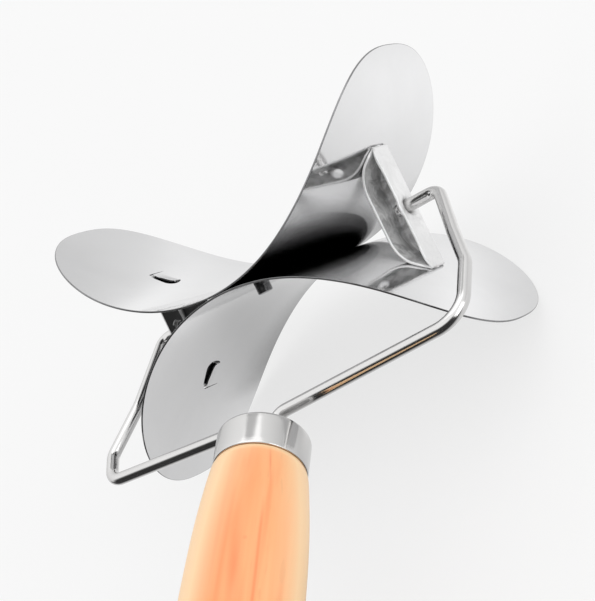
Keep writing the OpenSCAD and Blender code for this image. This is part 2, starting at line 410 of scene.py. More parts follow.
def left_bracket_painted_reflection():
    """Painted reflection: seen from the camera, the left bracket's floor and inner wall are darkened as if
    mirroring the dark gap between the blades.
    """
    material, sh, surface = steel("bracket_pressed_left_painted_reflection", **BRACKET_FINISH_AND_SHADE)
    geometry = sh.node("ShaderNodeNewGeometry").outputs
    towards_camera = (0.577, -0.671, 0.463)
    seen = sh.remap(sh.dot(geometry["Incoming"], towards_camera), span=(0.93, 0.985))
    # painted reflection: faces turned across or towards +X darken only when seen from the camera
    normal = geometry["True Normal"]
    facing_across = sh.remap(sh.dot(normal, ACROSS), span=(0.90, 0.98), to=(0.0, 0.95))
    facing_x = sh.remap(sh.dot(normal, X_DIR), span=(0.90, 0.98), to=(0.0, 0.96))
    keep = sh.sub(1.0, sh.mul(seen, sh.add(facing_across, facing_x)))
    color = surface["Base Color"].links[0].from_socket
    sh.link(sh.darken(color, keep), surface["Base Color"])
    return material


def rim_steel():
    """Pale, half metallic cut rim of the brackets."""
    material, _, surface = steel("bracket_cut_rim", tint=(0.93, 0.93, 0.93), rough=(0.30, 0.48),
                                 cloud=0.05, scratch=0.2)
    surface["Metallic"].default_value = 0.35
    return material


# bracket finish, with painted shade in its hollow and on its inner wall
BRACKET_FINISH_AND_SHADE = dict(tint=(0.86, 0.86, 0.86), rough=(0.34, 0.52), cloud=0.07, wave=0.45,
                      scratch=0.15, blotch=240.0,
                      painted_shade=dict(reach=0.020, span=(0.12, 0.70), low=0.84, inner_x=0.0336))


# ------------------------------------------------------------------ wood
# growth lines: (angle round the axis, its drift per metre, half width in radians, y where the
# line starts, y where it ends, strength, colour)
GROWTH_LINES = [
    (0.656, 6.6, 0.034, -0.066, -0.0835, 0.75, (0.74, 0.185, 0.062)),
    (0.655, 1.0, 0.046, -0.0840, -0.125, 0.75, (0.74, 0.180, 0.058)),
    (1.090, 7.0, 0.17, -0.086, -0.126, 0.80, (0.76, 0.215, 0.074)),
    (0.20, 1.5, 0.09, -0.080, -0.150, 0.28, (0.80, 0.24, 0.075)),
    (2.30, -1.0, 0.10, -0.070, -0.160, 0.40, (0.80, 0.22, 0.065)),
    (-2.20, 1.2, 0.07, -0.075, -0.140, 0.40, (0.80, 0.22, 0.065)),
]


def growth_lines(sh, color, place, wander, grain_space):
    """Single growth lines, placed by angle round the handle and distance along it."""
    x, y, z = sh.split(place)
    around = sh.add(sh.math("ARCTAN2", z, x), sh.mul(wander, 0.10))
    for angle, drift, width, y_start, y_end, strength, line_color in GROWTH_LINES:
        middle = sh.add(sh.mul(sh.add(y, -y_start), drift), angle)
        off = sh.math("ABSOLUTE", sh.sub(around, middle))
        line = sh.remap(off, span=(0.0, width), to=(1.0, 0.0), smooth=True)
        extent = sh.mul(sh.remap(y, span=(y_start, y_start - 0.004 - 0.09 * width)),
                        sh.remap(y, span=(y_end, y_end + 0.010)))
        broken = sh.noise(stretch=(300, 26, 300), source=grain_space, shift=(4, 4 + angle, 2),
                          detail=2.0)
        extent = sh.mul(extent, sh.remap(broken, span=(0.34, 0.60), to=(0.35, 1.0)))
        color = sh.mix(sh.mul(sh.mul(line, extent), strength), color, line_color)
    return color


def beech():
    material, sh, surface = new_material("beech_sealed")
    place = sh.mapped()
    # a slow warp so that the grain wanders
    warp = sh.noise(stretch=(14, 5, 14), detail=2.0)
    offset = sh.node("ShaderNodeCombineXYZ")
    sh.link(sh.mul(sh.sub(warp, 0.5), 0.007), offset.inputs[0])
    sh.link(sh.mul(sh.sub(warp, 0.5), 0.004), offset.inputs[2])
    grain_space = sh.vector("ADD", place, offset.outputs[0])[0]

    def grain(stretch, **settings):
        return sh.noise(stretch=stretch, source=grain_space, **settings)

    broad = grain((62, 4.2, 62), rough=0.55)
    fine = grain((420, 11, 420), shift=(2, 0, 5), detail=4.0, rough=0.6)
    color = sh.ramp(broad, [(0.30, (0.79, 0.260, 0.093)), (0.45, (0.80, 0.305, 0.116)),
                            (0.56, (0.81, 0.360, 0.152)), (0.70, (0.83, 0.440, 0.210))])
    streak = grain((210, 6.0, 210), shift=(9, 3, 1), detail=2.0)
    color = sh.mix(sh.remap(streak, span=(0.58, 0.72), to=(0, 0.75)), color, (0.76, 0.225, 0.075))
    color = sh.mix(sh.remap(fine, span=(0.35, 0.75), to=(0, 0.34)), color, (0.76, 0.26, 0.095))
    # short dark flecks of beech, long along the grain
    fleck = grain((900, 130, 900), shift=(1, 7, 4), detail=1.0, rough=0.4)
    color = sh.mix(sh.remap(fleck, span=(0.66, 0.74), to=(0, 0.35)), color, (0.66, 0.30, 0.13))
    color = growth_lines(sh, color, place, sh.sub(warp, 0.5), grain_space)
    # a pin knot
    from_knot = sh.vector("DISTANCE", place, (0.0098, -0.0972, 0.0111))["Value"]
    knot = sh.remap(from_knot, span=(0.0002, 0.0010), to=(0.55, 0))
    color = sh.mix(knot, color, (0.66, 0.15, 0.05))
    # painted sheen: the colour is paler where the surface is seen edge-on
    painted_sheen_facing = sh.node("ShaderNodeLayerWeight")
    painted_sheen_facing.inputs["Blend"].default_value = 0.5
    pale = sh.remap(painted_sheen_facing.outputs["Facing"], span=(0.27, 0.56), to=(0, 0.92))
    color = sh.mix(pale, color, (0.84, 0.59, 0.335))
    # its bounced light is nearly neutral
    diffuse_ray = sh.node("ShaderNodeLightPath").outputs["Is Diffuse Ray"]
    color = sh.mix(sh.mul(diffuse_ray, 0.8), color, (0.62, 0.58, 0.55))
    sh.link(color, surface["Base Color"])
    roughness = sh.add(fine, sh.mul(broad, 0.4))
    sh.link(sh.remap(roughness, span=(0.4, 1.0), to=(0.34, 0.52)), surface["Roughness"])
    surface["Coat Weight"].default_value = 0.12
    surface["Coat Roughness"].default_value = 0.25
    surface["Subsurface Weight"].default_value = 0.06
    surface["Subsurface Radius"].default_value = (0.004, 0.002, 0.001)
    relief = sh.bump(fine, strength=0.22, distance=0.0002)
    relief = sh.bump(fleck, strength=0.18, distance=0.0001, under=relief)
    sh.link(relief, surface["Normal"])
    return material


MATERIALS = {
    # the blades get painted shade, darkest in the wedge between them near the middle
    "blade": steel("blade_polished", tint=(0.74, 0.74, 0.745), rough=(0.055, 0.12), wave=0.10,
                   scratch=0.10, painted_shade=dict(reach=0.028, span=(0.08, 0.49), low=0.17))[0],
    "edge": steel("blade_cut_edge", tint=(0.30, 0.30, 0.305), rough=(0.16, 0.34), cloud=0.2,
                  scratch=0.3)[0],
    "bracket": steel("bracket_pressed", **BRACKET_FINISH_AND_SHADE)[0],
    # near-black painted shade for the faces pressed into the dents, seen through the slits
    "dent_painted_shade": steel("bracket_recess", tint=(0.07, 0.07, 0.072), rough=(0.35, 0.55),
                    cloud=0.2)[0],
    "bracket_left": left_bracket_painted_reflection(),
    "rim": rim_steel(),
    "wire": steel("wire_drawn", tint=(0.66, 0.655, 0.65), rough=(0.10, 0.20),
                  grain=(1800, 1800, 1800), scratch=0.1)[0],
    "ferrule": steel("ferrule_turned", tint=(0.61, 0.605, 0.60), rough=(0.08, 0.17),
                     grain=(40, 3500, 40))[0],
    "rivet": steel("rivet_satin", tint=(0.22, 0.22, 0.225), rough=(0.2, 0.40), cloud=0.2,
                   scratch=0.2)[0],
    "wood": beech(),
}


def paint(ob, slot):
    ob.data.materials.clear()
    ob.data.materials.append(MATERIALS[slot])
    for polygon in ob.data.polygons:
        polygon.material_index = 0


def register(ob, carrier, node):
    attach(ob, carrier)
    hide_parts(node)


# ------------------------------------------------------------------ curve of the bent sheets
# half a sheet is three arcs, from the middle out: their lengths, and the slope at each end
ARC_LENGTHS = np.array([0.70, 0.60, 0.664]) * ROLL_R
SLOPES = np.radians(60.4 * np.array([0, 0.45, 0.7545, 1.0]))
ARC_R = ARC_LENGTHS / np.diff(SLOPES)
ARC_STARTS = np.array([0, ARC_LENGTHS[0], ARC_LENGTHS[0] + ARC_LENGTHS[1]])
HALF_LENGTH = ARC_LENGTHS.sum()
MID_RISE = SHEET / 2 + 0.01 * MM   # rise of the sheet's middle layer at x = 0


def arc_centers():
    """Centres of the three arcs in (x, rise); neighbours share their tangent."""
    centers = [np.array([0, MID_RISE + ARC_R[0]])]
    for i in (1, 2):
        outward = np.array([math.sin(SLOPES[i]), -math.cos(SLOPES[i])])
        meeting = centers[-1] + ARC_R[i - 1] * outward
        centers.append(meeting - ARC_R[i] * outward)
    return np.array(centers)


ARC_CENTERS = arc_centers()


def bend(along):
    """Middle of the sheet at signed arc length: x, rise and slope."""
    dist = np.abs(along)
    i = np.where(dist <= ARC_STARTS[1], 0, np.where(dist <= ARC_STARTS[2], 1, 2))
    slope = SLOPES[:3][i] + (dist - ARC_STARTS[i]) / ARC_R[i]
    x = ARC_CENTERS[i, 0] + ARC_R[i] * np.sin(slope)
    rise = ARC_CENTERS[i, 1] - ARC_R[i] * np.cos(slope)
    sign = np.where(along < 0, -1.0, 1.0)
    return sign * x, rise, sign * slope


# ------------------------------------------------------------------ blades
# the flat sheet is laid out in (along, across); its outline is a superellipse
OUTLINE_POWER_ALONG, OUTLINE_POWER_ACROSS = 2.89, 2.51
OUTLINE_POINTS = 520
# the tongue inside each C-shaped slit is pressed in towards the bracket
TONGUE_ALONG = (1.039 * ROLL_R, 1.228 * ROLL_R)
TONGUE_ACROSS = (-0.066 * ROLL_R, 0.040 * ROLL_R)
TONGUE_DEPTH = 0.4 * MM
RIVET_HOLE_R = 1.62 * MM
GRID, FINE_GRID = 1.5 * MM, 0.45 * MM
RIM_R, SLIT_RIM_R = 0.11 * MM, 0.06 * MM
RIM_STEPS = 3
CDT_SCALE = 1000.0                 # the triangulation works in mm

# slit outline at -X: (outward along, across) in rolling radii
SLIT_OUTLINE = [
    (1.302, -0.132), (1.307, -0.060), (1.310, 0.015), (1.311, 0.046), (1.300, 0.066),
    (1.276, 0.082), (1.240, 0.091), (1.190, 0.098), (1.140, 0.103), (1.095, 0.109),
    (1.055, 0.111), (1.024, 0.097), (1.003, 0.068), (0.999, 0.034), (1.005, 0.002),
    (1.018, -0.030), (1.032, -0.055), (1.043, -0.068), (1.052, -0.056), (1.064, -0.032),
    (1.084, -0.016), (1.115, -0.007), (1.155, 0.000), (1.195, 0.010), (1.235, 0.021),
    (1.268, 0.028), (1.288, 0.032), (1.296, 0.022), (1.299, -0.010), (1.299, -0.060),
]
SLIT_NARROWING = 0.78              # along, measured from one rolling radius


def wobble(x, y, seed, count=5):
    """Smooth repeatable waves, about -1 to 1, over coordinates in radians."""
    draw = np.random.RandomState(seed)
    total = 0
    for _ in range(count):
        heading = draw.uniform(0, 2 * math.pi)
        frequency = draw.uniform(0.6, 2.2)
        phase = draw.uniform(0, 2 * math.pi)
        wave = np.cos(heading) * x + np.sin(heading) * y
        total = total + np.sin(frequency * wave + phase)
    return total / count


def tongue_push(along, across):
    """Inward push of the sheet; the slit at +X is the half turn of the one at -X."""
    (near, far), (low, high) = TONGUE_ALONG, TONGUE_ACROSS
    total = 0
    for side in (-1, 1):
        out, up = along * side, across * -side
        inside = ((out > near - 0.35 * MM) & (out < far + 0.1 * MM)
                  & (up > low) & (up < high + 0.45 * MM))
        depth = (smooth01((far - out) / (far - near)) ** 0.8
                 * smooth01((up - low) / (high - low)) ** 0.9)
        total = total + np.where(inside, depth * TONGUE_DEPTH, 0)
    return total


def sheet_point(along, across, offset, seed):
    """Place on the bent sheet, offset from its middle layer, in roller coordinates."""
    x, rise, slope = bend(along)
    uneven = 0.05 * MM * wobble(along / (14 * MM), across / (14 * MM), seed)
    lift = offset - tongue_push(along, across) + uneven
    return np.stack([x - lift * np.sin(slope), rise + lift * np.cos(slope), across], -1)


def sheet_directions(along, across, seed):
    """Unit vectors on the bent sheet: along, across and the normal of positive rise."""
    step = 0.02 * MM
    d_along = (sheet_point(along + step, across, 0, seed)
               - sheet_point(along - step, across, 0, seed))
    d_across = (sheet_point(along, across + step, 0, seed)
                - sheet_point(along, across - step, 0, seed))
    d_along /= np.linalg.norm(d_along, axis=1)[:, None]
    d_across /= np.linalg.norm(d_across, axis=1)[:, None]
    normal = np.cross(d_across, d_along)
    normal /= np.linalg.norm(normal, axis=1)[:, None]
    return d_along, d_across, np.where((normal[:, 1] < 0)[:, None], -normal, normal)


def resample(points, step):
    """Catmull-Rom curve through a closed row of points, about step apart."""
    count = len(points)
    out = []
    for i in range(count):
        p0, p1, p2, p3 = (points[(i + k) % count] for k in (-1, 0, 1, 2))
        pieces = max(1, int(round(np.linalg.norm(p2 - p1) / step)))
        for k in range(pieces):
            t = k / pieces
            out.append(0.5 * ((2 * p1) + (-p0 + p2) * t + (2 * p0 - 5 * p1 + 4 * p2 - p3) * t * t
                              + (-p0 + 3 * p1 - 3 * p2 + p3) * t ** 3))
    return np.array(out)


def loop_normals(loop):
    """Normals to the right of the walking direction."""
    tangent = np.roll(loop, -1, 0) - np.roll(loop, 1, 0)
    tangent /= np.linalg.norm(tangent, axis=1)[:, None] + 1e-15
    return np.stack([tangent[:, 1], -tangent[:, 0]], 1)


def is_counter_clockwise(loop):
    x, y = loop[:, 0], loop[:, 1]
    return 0.5 * float((x * np.roll(y, -1) - y * np.roll(x, -1)).sum()) > 0


def outline_half_width(along_share):
    return (1 - along_share ** OUTLINE_POWER_ALONG) ** (1 / OUTLINE_POWER_ACROSS)


def outline_loop():
    """Outline of the flat sheet with evenly spaced points."""
    count = 96
    along = HALF_LENGTH * np.sin(np.arange(count) / count * math.pi / 2)
    across = ROLL_R * outline_half_width(along / HALF_LENGTH)
    quarter = np.stack([along, across], 1)
    full = np.concatenate([
        quarter, [[HALF_LENGTH, 0]], (quarter * [1, -1])[::-1][:-1],
        quarter * [-1, -1], [[-HALF_LENGTH, 0]], (quarter * [-1, 1])[::-1][:-1]])
    full = np.concatenate([full, full[:1]])
    lengths = np.linalg.norm(np.diff(full, axis=0), axis=1)
    walked = np.concatenate([[0], np.cumsum(lengths)])
    even = np.arange(OUTLINE_POINTS) / OUTLINE_POINTS * walked[-1]
    return np.stack([np.interp(even, walked, full[:, i]) for i in (0, 1)], 1)


def sheet_loops():
    """Outline, two slits and two rivet holes, wound so that loop normals leave the metal."""
    slit = resample(np.array(SLIT_OUTLINE) * ROLL_R, 0.35 * MM)
    slit[:, 0] = ROLL_R + (slit[:, 0] - ROLL_R) * SLIT_NARROWING
    loops = [outline_loop()] + [slit * [side, -side] for side in (-1, 1)]
    angle = np.arange(40) / 40 * 2 * math.pi
    for side in (-1, 1):
        loops.append(np.stack([RIVET_HOLE_R * np.cos(angle),
                               side * RIVET_PLACE + RIVET_HOLE_R * np.sin(angle)], 1))
    return [loop if is_counter_clockwise(loop) == (i == 0) else loop[::-1]
            for i, loop in enumerate(loops)]


def interior_points(insets):
    """Grid inside the sheet, finer round the slits and clear of every loop."""
    rows = enumerate(np.arange(-ROLL_R, ROLL_R, GRID))
    columns = np.arange(-HALF_LENGTH, HALF_LENGTH, GRID)
    grid = np.array([(x + (0.5 * GRID if j % 2 else 0), y) for j, y in rows for x in columns])
    patches = []
    for side in (-1, 1):
        patch_along = np.arange(0.96 * ROLL_R, 1.34 * ROLL_R, FINE_GRID)
        patch_across = np.arange(-0.17 * ROLL_R, 0.14 * ROLL_R, FINE_GRID)
        patch = np.array([(x, y) for x in patch_along for y in patch_across]) * [side, -side]
        covered = ((np.abs(grid[:, 0] - side * 1.15 * ROLL_R) < 0.19 * ROLL_R)
                   & (np.abs(grid[:, 1] + side * 0.015 * ROLL_R) < 0.155 * ROLL_R))
        grid = grid[~covered]
        patches.append(patch)
    grid = np.concatenate([grid] + patches)
    share = np.abs(grid[:, 0]) / HALF_LENGTH
    half_width = ROLL_R * outline_half_width(np.clip(share, 0, 1))
    grid = grid[(share < 1) & (np.abs(grid[:, 1]) < half_width)]
    rims = np.concatenate(insets)
    gap = np.full(len(grid), 1e9)
    for i in range(0, len(rims), 200):
        spread = grid[:, None, :] - rims[None, i:i + 200, :]
        gap = np.minimum(gap, np.linalg.norm(spread, axis=2).min(1))
    near_slit = ((np.abs(np.abs(grid[:, 0]) - 1.15 * ROLL_R) < 0.2 * ROLL_R)
                 & (np.abs(grid[:, 1]) < 0.18 * ROLL_R))
    return grid[gap > np.where(near_slit, 0.2 * MM, 0.7 * MM)]


def inside_loop(points, loop):
    x, y = points[:, 0], points[:, 1]
    inside = np.zeros(len(points), bool)
    for (x_a, y_a), (x_b, y_b) in zip(loop, np.roll(loop, 1, 0)):
        crossing = (x_b - x_a) * (y - y_a) / (y_b - y_a + 1e-18) + x_a
        inside ^= ((y_a > y) != (y_b > y)) & (x < crossing)
    return inside


def triangulate_sheet(insets):
    """Flat points, counter-clockwise triangles, and the output number of each loop point."""
    edges, first = [], 0
    for loop in insets:
        count = len(loop)
        edges += [(first + j, first + (j + 1) % count) for j in range(count)]
        first += count
    points = np.concatenate(insets + [interior_points(insets)])
    points = [Vector((p[0] * CDT_SCALE, p[1] * CDT_SCALE)) for p in points]
    out = delaunay_2d_cdt(points, edges, [], 0, 1e-6)
    flat = np.array([(v[0] / CDT_SCALE, v[1] / CDT_SCALE) for v in out[0]])
    triangles = np.array([f for f in out[2] if len(f) == 3])
    middles = flat[triangles].mean(1)
    metal = inside_loop(middles, insets[0])
    for loop in insets[1:]:
        metal &= ~inside_loop(middles, loop)
    triangles = triangles[metal]
    a, b, c = (flat[triangles[:, i]] for i in range(3))
    twice_area = ((b[:, 0] - a[:, 0]) * (c[:, 1] - a[:, 1])
                  - (b[:, 1] - a[:, 1]) * (c[:, 0] - a[:, 0]))
    triangles[twice_area < 0] = triangles[twice_area < 0][:, ::-1]
    output_of = {k: i for i, sources in enumerate(out[3]) for k in sources}
    return flat, triangles, output_of


def rim_stations(radius):
    """Rounded rim: (distance in from the loop, offset from the middle layer, angle)."""
    upper = [(radius * (1 - math.sin(t)), SHEET / 2 - radius * (1 - math.cos(t)), t)
             for t in np.linspace(0, math.pi / 2, RIM_STEPS + 1)[1:]]
    return upper + [(inset, -offset, math.pi - t) for inset, offset, t in reversed(upper)]


def build_sheet(name, side, seed):
    """Bent sheet with rounded rims, two slits and two rivet holes; side -1 is the lower one."""
    loops = sheet_loops()
    rim_radii = [RIM_R, SLIT_RIM_R, SLIT_RIM_R, RIM_R, RIM_R]
    outwards = [loop_normals(loop) for loop in loops]
    insets = [loop - out * r for loop, out, r in zip(loops, outwards, rim_radii)]
    flat, triangles, output_of = triangulate_sheet(insets)
    face_count = len(flat)
    along, across = flat[:, 0], flat[:, 1]
    normal = sheet_directions(along, across, seed)[2]
    verts = [sheet_point(along, across, offset, seed) for offset in (SHEET / 2, -SHEET / 2)]
    normals = [normal, -normal]
    faces = [tuple(t[::-1]) for t in triangles] + [tuple(t + face_count) for t in triangles]
    vertex_count = 2 * face_count
    start = 0
    for i, (loop, out, inset_loop, radius) in enumerate(zip(loops, outwards, insets, rim_radii)):
        count = len(loop)
        top = np.array([output_of[start + j] for j in range(count)])
        start += count
        rings = [top]
        d_along, d_across, loop_normal = sheet_directions(*inset_loop.T, seed)
        outward = d_along * out[:, :1] + d_across * out[:, 1:]
        for inset, offset, angle in rim_stations(radius):
            if i in (1, 2):
                # a slit's rim keeps the push of its inset loop, so the tongue's step stays whole
                ring = (sheet_point(*inset_loop.T, offset, seed)
                        + (d_along * (out[:, :1] * (radius - inset))
                           + d_across * (out[:, 1:] * (radius - inset))))
            else:
                ring = sheet_point(*(loop - out * inset).T, offset, seed)
            verts.append(ring)
            normals.append(math.sin(angle) * outward + math.cos(angle) * loop_normal)
            rings.append(np.arange(vertex_count, vertex_count + count))
            vertex_count += count
        rings.append(top + face_count)
        for ring_a, ring_b in zip(rings[:-1], rings[1:]):
            faces += bridge(ring_a, ring_b, flip=True)
    verts, normals = np.concatenate(verts), np.concatenate(normals)
    normals /= np.linalg.norm(normals, axis=1)[:, None] + 1e-15
    verts[:, 1] *= side
    normals[:, 1] *= side
    verts, normals = to_row(verts), to_row(normals, origin=0)
    turned = []
    for face in faces:
        a, b, c = (verts[i] for i in face[:3])
        agrees = np.cross(b - a, c - a) @ normals[list(face)].sum(0) > 0
        turned.append(face if agrees else face[::-1])
    ob = make(name, verts, turned, normals)
    # faces of the outer rim, which follow the two skins
    ob["rim_from"] = 2 * len(triangles)
    ob["rim_to"] = 2 * len(triangles) + len(loops[0]) * (2 * RIM_STEPS + 1)
    paint(ob, "blade")
    ob.data.materials.append(MATERIALS["edge"])
    for polygon in ob.data.polygons[ob["rim_from"]:ob["rim_to"]]:
        polygon.material_index = 1
    return ob


# ------------------------------------------------------------------ brackets
# modelled at +X: the floor is at the low end of across and the walls stand towards +across
BRACKET_WALL = 0.7 * MM
BRACKET_OUT, BRACKET_IN = float(bracket_hi.x), float(bracket_lo.x)
BRACKET_FLOOR = float((cad_coords("bracket_right") @ ACROSS).min())
RIM_OUT, RIM_IN = BRACKET_FLOOR + 8.9 * MM, BRACKET_FLOOR + 9.7 * MM
CORNER_IN, CORNER_OUT = 11.0 * MM, 0.5 * MM
LIP_R = 0.16 * MM                  # rounding of the rim; also the smallest corner
FLOOR_FILLET, INNER_FILLET = 1.3 * MM, 0.6 * MM
EAR_R = 4.7 * MM                   # the ear round the pivot hole
LEFT_RIM_BULGE = 3.4 * MM          # the left bracket's inner wall stands this much taller
DENT_DEPTH = 0.9 * MM
FLOOR_HOLE_R = 1.7 * MM

# round the pivot hole: (radius beyond the bore, x from the outer wall) in mm
COLLAR = [(0.62, -2.15), (0.85, -2.0), (0.92, -1.7), (0.95, -1.3), (1.1, -0.95), (1.4, -0.68),
          (1.75, -0.5), (1.75, -0.2)]
BORE = [(0.3, -3), (0.3, -2.25), (0, -1.95), (0, -0.95), (0.12, -0.62), (0.40, -0.34),
        (0.85, -0.12), (1.45, 0.02), (1.5, 0.6)]


def blade_face_rise(x):
    """Rise of the upper blade's inner face over x."""
    center, radius = ARC_CENTERS[1], ARC_R[1] + SHEET / 2
    return center[1] - math.sqrt(max(radius * radius - (x - center[0]) ** 2, 0))


def wall_corner(wall_x, sign, reach, radius):
    """Fillet between the wall and the blade circle: centre, wall point, blade point."""
    x = wall_x - sign * radius
    center = ARC_CENTERS[1]
    y = center[1] - math.sqrt((reach + radius) ** 2 - (x - center[0]) ** 2)
    away = np.array([x - center[0], y - center[1]])
    on_blade = center + away / np.linalg.norm(away) * reach
    return np.array([x, y]), np.array([wall_x, y]), on_blade


def arc_points(center, radius, start, end, count):
    """Points of the shorter arc from start to end, the last left out."""
    angle_a = math.atan2(start[1] - center[1], start[0] - center[0])
    angle_b = math.atan2(end[1] - center[1], end[0] - center[0])
    sweep = (angle_b - angle_a + math.pi) % (2 * math.pi) - math.pi
    angles = [angle_a + sweep * k / count for k in range(count)]
    return [(center[0] + radius * math.cos(t), center[1] + radius * math.sin(t)) for t in angles]


def bracket_loop(depth):
    """Closed loop of the wall in (x, rise), depth inside its outer face; fixed point count."""
    reach = ARC_R[1] + SHEET / 2 + 0.05 * MM + depth
    out_r, in_r = max(CORNER_OUT - depth, LIP_R), max(CORNER_IN - depth, LIP_R)
    out_center, out_wall, out_blade = wall_corner(BRACKET_OUT - depth, 1, reach, out_r)
    in_center, in_wall, in_blade = wall_corner(BRACKET_IN + depth, -1, reach, in_r)
    # middle of the outer wall, up to the upper blade, across, and down to the inner wall's
    # middle; the points are denser about the ear
    half = [(out_wall[0], out_wall[1] * (k / 36) ** 1.15) for k in range(36)]
    half += arc_points(out_center, out_r, out_wall, out_blade, 14)
    half += arc_points(ARC_CENTERS[1], reach, out_blade, in_blade, 12)
    half += arc_points(in_center, in_r, in_blade, in_wall, 26)
    half += [(in_wall[0], in_wall[1] * (1 - k / 16)) for k in range(16)]
    half.append((in_wall[0], 0.0))
    half = np.array(half)
    return np.concatenate([half, half[1:-1][::-1] * [1, -1]])


def bracket_rim(turned):
    """Height of the wall's rim at each point of the loop."""
    x, rise = bracket_loop(0.0).T
    dist, half = np.abs(rise), np.abs(rise).max()
    inward = smooth01((BRACKET_OUT - 1.3 * MM - x) / (BRACKET_OUT - BRACKET_IN - 2.6 * MM))
    bulge = LEFT_RIM_BULGE if turned else 0
    hump = np.sqrt(np.clip(1 - (rise / (0.80 * half)) ** 2, 0, 1))
    rim = RIM_OUT + (RIM_IN + bulge * hump - RIM_OUT) * inward
    # the rim dips where the walls run into the blades and swells before that
    share = dist / half
    swell = 0.35 * MM * np.exp(-((share - 0.80) / 0.13) ** 2) * (1 - inward * 0.4)
    rim = rim + swell - 0.9 * MM * smooth01((share - 0.90) / 0.10)
    # the ear stands past the rim of the outer wall
    on_ear = (x > BRACKET_OUT - 0.01 * MM) & (dist < EAR_R)
    ear = np.sqrt(np.clip(EAR_R ** 2 - rise ** 2, 0, None))
    rim = np.where(on_ear, np.maximum(rim, ear), rim)
    # soften the step at the ear's feet
    for _ in range(2):
        softened = (np.roll(rim, 1) + 2 * rim + np.roll(rim, -1)) / 4
        rim = np.where(dist < EAR_R + 1 * MM, softened, rim)
    return rim


def bracket_dent(verts):
    """Share of the dent pressed into the walls along the blades."""
    x, z = verts[:, 0], verts[:, 2] - BRACKET_FLOOR
    share_x = (smooth01((x - BRACKET_IN - 0.5 * MM) / (1.8 * MM))
               * smooth01((BRACKET_OUT - 0.75 * MM - x) / (1.5 * MM)))
    share_z = (smooth01((z - 1.0 * MM) / (1.8 * MM)) * smooth01((8.3 * MM - z) / (1.6 * MM)))
    blade_rise = np.array([blade_face_rise(value) for value in x])
    return np.where(np.abs(verts[:, 1]) > blade_rise - 2.2 * MM, share_x * share_z, 0)


def bracket_shell(name, turned):
    """Pan with floor, walls and rounded rim, in roller coordinates."""
    rim = bracket_rim(turned)
    count = len(rim)
    rings = []

    def add(depth, height):
        rings.append(np.column_stack([bracket_loop(depth), np.broadcast_to(height, count)]))

    quarter = [math.pi / 2 * k / 6 for k in range(7)]
    up_wall = (0.12, 0.3, 0.5, 0.7, 0.88, 1.0)
    for t in quarter:
        add(FLOOR_FILLET * (1 - math.sin(t)), BRACKET_FLOOR + FLOOR_FILLET * (1 - math.cos(t)))
    for share in up_wall:
        bottom = BRACKET_FLOOR + FLOOR_FILLET
        add(0.0, bottom + (rim - LIP_R - BRACKET_FLOOR - FLOOR_FILLET) * share)
    lip_from = len(rings)
    for k in range(1, 6):
        t = math.pi * k / 6
        add(BRACKET_WALL / 2 * (1 - math.cos(t)), rim - LIP_R + LIP_R * math.sin(t))
    lip_to = len(rings)
    inner_floor = BRACKET_FLOOR + BRACKET_WALL
    for share in up_wall[::-1]:
        add(BRACKET_WALL, inner_floor + INNER_FILLET
            + (rim - LIP_R - BRACKET_FLOOR - BRACKET_WALL - INNER_FILLET) * share)
    for t in quarter:
        add(BRACKET_WALL + INNER_FILLET * (1 - math.cos(t)),
            inner_floor + INNER_FILLET * (1 - math.sin(t)))
    verts = np.concatenate(rings)
    dent = bracket_dent(verts)
    verts[:, 1] -= np.sign(verts[:, 1]) * dent * DENT_DEPTH
    numbers = [range(i * count, (i + 1) * count) for i in range(len(rings))]
    faces = []
    for ring_a, ring_b in zip(numbers[:-1], numbers[1:]):
        faces += bridge(ring_a, ring_b)
    ob = make(name, verts, faces + [tuple(numbers[0]), tuple(numbers[-1])])
    for slot in ("bracket_left" if turned else "bracket", "rim", "dent_painted_shade"):
        ob.data.materials.append(MATERIALS[slot])
    for polygon in ob.data.polygons[lip_from * count:lip_to * count]:
        polygon.material_index = 1
    # faces deep in the dents get the near-black painted shade
    for polygon in ob.data.polygons[:lip_from * count]:
        if dent[list(polygon.vertices)].min() > 0.12:
            polygon.material_index = 2
    return recalc(ob)


def build_bracket(name, turned):
    """Bracket with its collared pivot hole and floor hole; turned makes the one at -X."""
    ob = bracket_shell(name, turned)
    bore_r = WIRE_R + 0.06 * MM
    pivot = np.array([BRACKET_OUT, 0, 0])
    boolean(ob, lathe("collar", capped(from_mm(COLLAR, bore_r)), pivot, (1, 0, 0), 72), "UNION")
    boolean(ob, lathe("bore", capped(from_mm(BORE, bore_r)), pivot, (1, 0, 0), 72))
    hole_place = np.array([(BRACKET_IN + BRACKET_OUT) / 2 - 0.5 * MM, 1.2 * MM,
                           BRACKET_FLOOR + 0.2 * MM])
    hole = capped([(FLOOR_HOLE_R, -1.5 * MM), (FLOOR_HOLE_R, 1.6 * MM)])
    boolean(ob, lathe("hole", hole, hole_place, (0, 0, 1), 48))
    places = coords(ob.data)
    if turned:
        places = places * [-1, 1, -1]
    ob.data.vertices.foreach_set("co", to_row(places).ravel())
    ob.data.update()
    recalc(ob)
    sharpen(ob, 38)
    return ob


# ------------------------------------------------------------------ rivets
# (radius, distance beyond the sheets' outer face) in mm; head on the upper blade, tail below
RIVET_HEAD = [(0, 0.75), (0.9, 0.72), (1.7, 0.55), (2.2, 0.25), (2.4, 0.08), (2.4, 0),
              (1.6, -0.05)]
RIVET_TAIL = [(1.6, -0.05), (2.0, 0), (2.05, 0.1), (2.05, 2.4), (1.98, 2.6), (1.8, 2.7),
              (0.9, 2.66), (0, 2.6)]


def build_rivets():
    face = SHEET + 0.06 * MM
    outline = [(radius, face + beyond) for radius, beyond in from_mm(RIVET_HEAD)]
    outline += [(radius, -face - beyond) for radius, beyond in from_mm(RIVET_TAIL)]
    parts = [lathe("rv", outline, to_row(np.array([0.0, 0.0, side * RIVET_PLACE])), RISE, 48)
             for side in (-1, 1)]
    ob = join("center_rivets_pair", parts)
    recalc(ob)
    sharpen(ob, 40)
    paint(ob, "rivet")
    return ob


